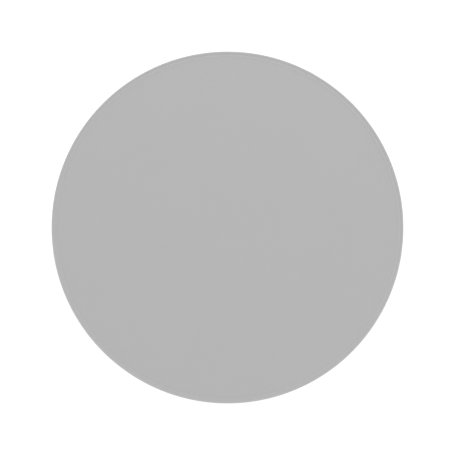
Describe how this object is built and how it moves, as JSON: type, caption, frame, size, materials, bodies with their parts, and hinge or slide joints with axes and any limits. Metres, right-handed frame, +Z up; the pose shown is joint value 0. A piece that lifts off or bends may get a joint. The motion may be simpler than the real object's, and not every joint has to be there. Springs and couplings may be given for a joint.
{
  "type": "collapsible backdrop panel",
  "caption": "Round pop-up photographic backdrop: grey cloth stretched flat on a sprung steel hoop in a stitched hem, with a hanging loop behind.",
  "frame": {"origin": "centre of the disc, midway through its thickness", "axes": "-Y out of the front face, +Z up to the hanging loop, +X to the right seen from the front"},
  "size_m": [1.5, 0.022, 1.4996],
  "materials": {
    "grey_cloth": "matte",
    "liner_cloth": "matte",
    "hem_tape": "matte",
    "sewing_thread": "matte",
    "spring_steel": "satin",
    "ferrule_steel": "satin",
    "shrink_sleeve": "satin",
    "black_webbing": "matte",
    "black_thread": "matte",
    "label_weave": "matte"
  },
  "bodies": {
    "upper_half": {"front_panel_upper": "grey_cloth", "back_panel_upper": "grey_cloth", "blackout_liner_upper": "liner_cloth", "spring_hoop_upper": "spring_steel", "hem_binding_upper": "hem_tape", "outer_stitch_row_upper": "sewing_thread", "inner_stitch_row_upper": "sewing_thread", "binding_lap": "hem_tape", "binding_lap_stitch": "sewing_thread", "loop_tails": "black_webbing", "loop_bar_tacks": "black_thread"},
    "lower_half": {"front_panel_lower": "grey_cloth", "back_panel_lower": "grey_cloth", "blackout_liner_lower": "liner_cloth", "spring_hoop_lower_left": "spring_steel", "spring_hoop_lower_right": "spring_steel", "hoop_ferrule": "ferrule_steel", "ferrule_sleeve": "shrink_sleeve", "hem_binding_lower": "hem_tape", "outer_stitch_row_lower": "sewing_thread", "inner_stitch_row_lower": "sewing_thread", "label": "label_weave", "label_stitch": "black_thread"},
    "hang_loop": {"hang_loop": "black_webbing"}
  },
  "joints": [
    {"name": "bend_in_half", "type": "hinge", "parent": "upper_half", "child": "lower_half", "pos_m": [0, 0.0055, 0], "axis": [1, 0, 0], "range_deg": [0, 150], "stiffness_Nm_per_rad": 1.2},
    {"name": "loop_flip", "type": "hinge", "parent": "upper_half", "child": "hang_loop", "pos_m": [0, 0.0044, 0.7275], "axis": [1, 0, 0], "range_deg": [0, 160]}
  ]
}
